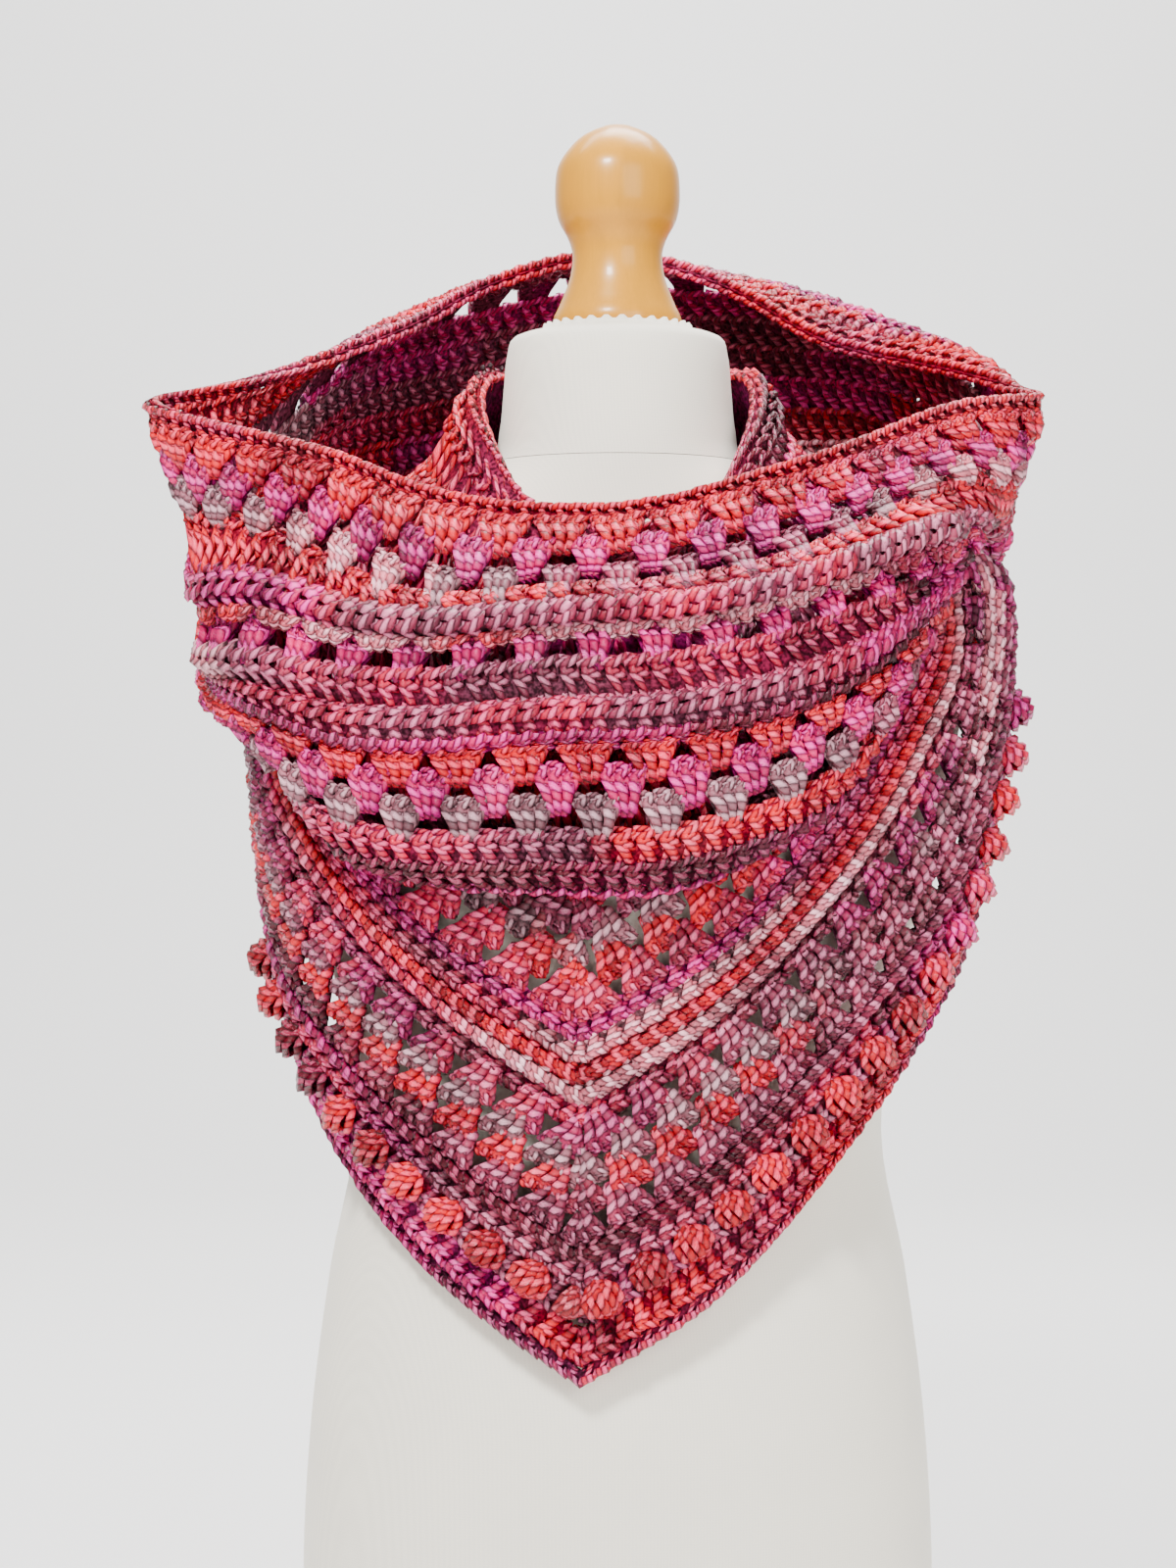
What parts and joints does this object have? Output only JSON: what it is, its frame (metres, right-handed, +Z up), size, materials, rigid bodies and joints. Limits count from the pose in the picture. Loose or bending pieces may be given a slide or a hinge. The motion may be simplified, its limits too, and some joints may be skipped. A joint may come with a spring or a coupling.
{
  "type": "crocheted hooded cowl scarf on a limbless dress form",
  "caption": "Chunky crocheted cowl scarf with a hood hanging at the back and a pointed front, worn on a cream limbless dress form with a turned wooden neck knob.",
  "frame": {"origin": "centre of the dress form's flat underside", "axes": "+Z up along the form's axis, the scarf's point and the form's chest towards -Y, the wearer's left towards +X"},
  "size_m": [0.4237, 0.3638, 0.794],
  "materials": {
    "point_yarn": "crocheted chunky yarn, matt and woolly",
    "mantle_yarn": "crocheted chunky yarn, matt and woolly",
    "fold_yarn": "crocheted chunky yarn, matt and woolly",
    "cowl_yarn": "crocheted chunky yarn, matt and woolly",
    "hood_yarn": "crocheted chunky yarn, matt and woolly",
    "face_yarn": "crocheted chunky yarn, matt and woolly",
    "hem_yarn": "crocheted chunky yarn, matt and woolly",
    "cream_jersey": "fine jersey stretched over a firm form, matt",
    "honey_wood": "turned and varnished, glossy"
  },
  "bodies": {
    "root": {"front_point": "point_yarn", "mantle_back": "mantle_yarn", "neck_fold_front": "fold_yarn", "neck_fold_back": "fold_yarn", "cowl_front": "cowl_yarn", "hood_back": "hood_yarn", "face_edging": "face_yarn", "hem_edging": "hem_yarn", "form_torso": "cream_jersey", "form_neck": "cream_jersey", "form_knob": "honey_wood"}
  },
  "joints": []
}
